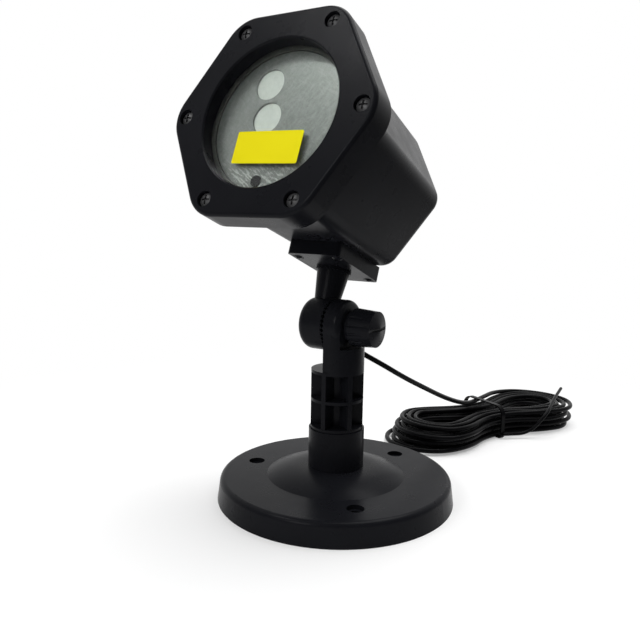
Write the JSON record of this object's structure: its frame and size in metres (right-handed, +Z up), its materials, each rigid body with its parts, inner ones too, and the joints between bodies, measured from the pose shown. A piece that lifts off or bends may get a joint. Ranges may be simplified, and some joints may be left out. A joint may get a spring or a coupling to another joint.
{
  "type": "laser show projector",
  "caption": "Outdoor laser show projector: six-sided tapered head with a round window on a serrated tilt knuckle, ribbed post and round foot, with a tied hank of cable.",
  "frame": {"origin": "on the floor under the post, at the middle of the circle of fixing holes", "axes": "+Z up along the post; the head faces -Y and tilts about the X direction"},
  "size_m": [0.1303, 0.2707, 0.2185],
  "materials": {
    "black_plastic": "satin moulded black plastic",
    "black_screw": "glossy black screw",
    "steel": "plated steel",
    "black_rubber": "soft black rubber",
    "clear_glass": "clear, faintly green",
    "grey_plate": "brushed grey sheet",
    "frosted_film": "frosted pale film",
    "block_metal": "machined aluminium",
    "module_brass": "turned brass",
    "dark_lens": "dark infrared lens",
    "board_green": "green circuit board",
    "component_dark": "dark component cases",
    "black_cable": "semi-gloss black cable jacket",
    "tie_plastic": "black coated tie",
    "plug_plastic": "moulded black plug"
  },
  "bodies": {
    "base": {"base": "black_plastic"},
    "post": {"post": "black_plastic", "cable_lead": "black_cable", "cable_hank": "black_cable", "waist_tie": "tie_plastic", "dc_plug": "plug_plastic"},
    "head": {"tilt_arm": "black_plastic", "arm_screws": "black_screw", "hinge_nut": "steel", "housing": "black_plastic", "front_bezel": "black_plastic", "bezel_screws": "black_screw", "bezel_gasket": "black_rubber", "window_glass": "clear_glass", "window_gasket": "black_rubber", "aperture_plate": "grey_plate", "diffraction_gratings": "frosted_film", "laser_block": "block_metal", "red_laser_module": "module_brass", "green_laser_module": "module_brass", "ir_receiver": "dark_lens", "driver_board": "board_green", "board_components": "component_dark", "board_screws": "steel", "cable_gland": "black_rubber"},
    "knob": {"clamp_knob": "black_plastic", "hinge_bolt": "steel"}
  },
  "joints": [
    {"name": "post_swivel", "type": "hinge", "parent": "base", "child": "post", "pos_m": [0, 0, 0], "axis": [0, 0, 1], "continuous": true},
    {"name": "head_tilt", "type": "hinge", "parent": "post", "child": "head", "pos_m": [0, 0, 0.0844], "axis": [-1, 0, 0], "range_deg": [-81, 69], "deforming": ["cable_lead"]},
    {"name": "knob_turn", "type": "hinge", "parent": "post", "child": "knob", "pos_m": [0, 0, 0.0844], "axis": [1, 0, 0], "range_deg": [0, 360]}
  ]
}
